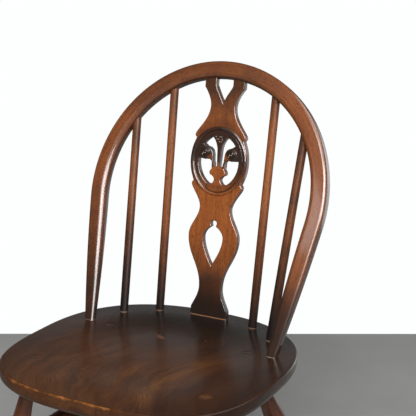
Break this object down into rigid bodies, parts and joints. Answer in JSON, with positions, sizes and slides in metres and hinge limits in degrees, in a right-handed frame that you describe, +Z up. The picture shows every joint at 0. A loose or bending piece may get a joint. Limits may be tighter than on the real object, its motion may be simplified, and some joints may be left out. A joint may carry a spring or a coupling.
{
  "type": "thistle back dining chair",
  "caption": "Wooden hoop-back dining chair: dished plank seat, bent bow, turned spindles, pierced thistle splat with an oval moulding, and splayed turned legs joined by stretchers.",
  "frame": {"origin": "bottom centre of the chair's box, on the floor between the feet", "axes": "+Z up, +Y to the back of the chair, +X to the right seen from the front"},
  "size_m": [0.4992, 0.4836, 0.8548],
  "materials": {
    "seat_wood": "dark stained plank, semi-gloss lacquer",
    "bow_wood": "red-brown stain, gloss lacquer",
    "spindle_wood": "red-brown stain, gloss lacquer",
    "splat_wood": "red-brown stain shading to dark at the foot, gloss lacquer",
    "leg_wood": "red-brown stain, gloss lacquer",
    "stretcher_wood": "red-brown stain, gloss lacquer",
    "wedge_wood": "paler end grain under lacquer"
  },
  "bodies": {
    "root": {"seat": "seat_wood", "bow": "bow_wood", "bow_wedge_left": "wedge_wood", "bow_wedge_right": "wedge_wood", "spindle_inner_left": "spindle_wood", "spindle_inner_right": "spindle_wood", "spindle_outer_left": "spindle_wood", "spindle_outer_right": "spindle_wood", "splat": "splat_wood", "leg_front_left": "leg_wood", "leg_front_right": "leg_wood", "leg_rear_left": "leg_wood", "leg_rear_right": "leg_wood", "leg_wedge_front_left": "wedge_wood", "leg_wedge_front_right": "wedge_wood", "leg_wedge_rear_left": "wedge_wood", "leg_wedge_rear_right": "wedge_wood", "side_stretcher_left": "stretcher_wood", "side_stretcher_right": "stretcher_wood", "cross_stretcher": "stretcher_wood"}
  },
  "joints": []
}
